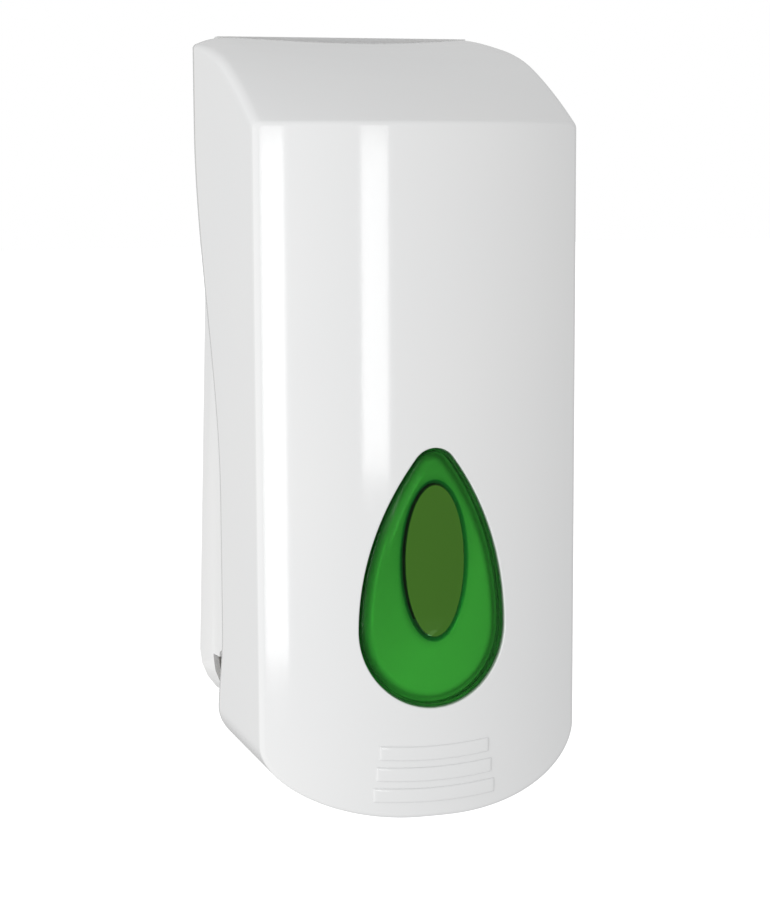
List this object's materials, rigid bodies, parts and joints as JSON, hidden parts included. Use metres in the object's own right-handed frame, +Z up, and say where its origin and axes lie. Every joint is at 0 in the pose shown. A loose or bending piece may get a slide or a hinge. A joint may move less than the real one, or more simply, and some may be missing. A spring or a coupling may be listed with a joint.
{
  "type": "wall mounted soap dispenser",
  "caption": "Wall-mounted refillable soap dispenser with a push-to-dispense hinged cover, a teardrop level window, an inner tank and a piston pump.",
  "frame": {"origin": "middle of the back plate's flat rear face, on the wall", "axes": "+Z up, +Y into the wall, so the front faces -Y; +X to the right as seen from the front"},
  "size_m": [0.104, 0.0986, 0.2428],
  "materials": {
    "cover_white": "gloss white moulded plastic",
    "frame_white": "satin white moulded plastic",
    "window_green": "clear green tinted moulded plastic",
    "tank_amber": "translucent amber moulded plastic",
    "pump_grey": "grey moulded plastic",
    "seal_rubber": "soft black rubber",
    "steel": "plated steel"
  },
  "bodies": {
    "wall_unit": {"back_plate": "frame_white", "tank": "tank_amber", "tank_screw_left": "steel", "tank_screw_right": "steel", "tank_gasket": "seal_rubber", "lid_hinge_pin": "steel", "lid_seal": "seal_rubber", "pump_body": "frame_white", "pump_screw_left": "steel", "pump_screw_right": "steel", "gland_nut": "pump_grey", "inlet_valve": "seal_rubber", "spout_nut": "pump_grey", "spout": "frame_white", "outlet_valve": "seal_rubber", "lock_bush": "steel", "lock_nut": "steel", "push_pin_left": "steel", "push_pin_right": "steel", "return_spring": "steel"},
    "push_frame": {"push_yoke": "frame_white", "push_pad": "seal_rubber", "cover_pin_left": "steel", "cover_pin_right": "steel"},
    "cover": {"cover_shell": "cover_white", "window_lens": "window_green", "window_retainer": "frame_white", "retainer_screw_1": "steel", "retainer_screw_2": "steel", "retainer_screw_3": "steel", "retainer_screw_4": "steel", "catch_plate": "steel", "catch_screw_left": "steel", "catch_screw_right": "steel"},
    "piston": {"piston_rod": "frame_white", "piston_seal": "seal_rubber", "piston_head": "pump_grey"},
    "lid": {"tank_lid": "pump_grey"},
    "lock": {"lock_barrel": "steel", "lock_cam": "steel", "cam_screw": "steel"}
  },
  "joints": [
    {"name": "push_hinge", "type": "hinge", "parent": "wall_unit", "child": "push_frame", "pos_m": [0, -0.012, 0.1], "axis": [1, 0, 0], "range_deg": [0, 3.5]},
    {"name": "cover_open", "type": "hinge", "parent": "push_frame", "child": "cover", "pos_m": [0, -0.05, -0.1], "axis": [1, 0, 0], "range_deg": [0, 50]},
    {"name": "piston_slide", "type": "slide", "parent": "wall_unit", "child": "piston", "axis": [0, 1, 0], "range_m": [0, 0.0112], "stiffness_N_per_m": 400, "springref_m": -0.012, "deforming": ["return_spring"]},
    {"name": "lid_open", "type": "hinge", "parent": "wall_unit", "child": "lid", "pos_m": [0, -0.0082, 0.0576], "axis": [-1, 0, 0], "range_deg": [0, 88]},
    {"name": "lock_turn", "type": "hinge", "parent": "wall_unit", "child": "lock", "pos_m": [0, -0.012, 0.1], "axis": [0, 0, -1], "range_deg": [0, 90]}
  ],
  "couplings": [
    {"joint": "piston_slide", "follows": "push_hinge", "m_per_rad": 0.182}
  ]
}
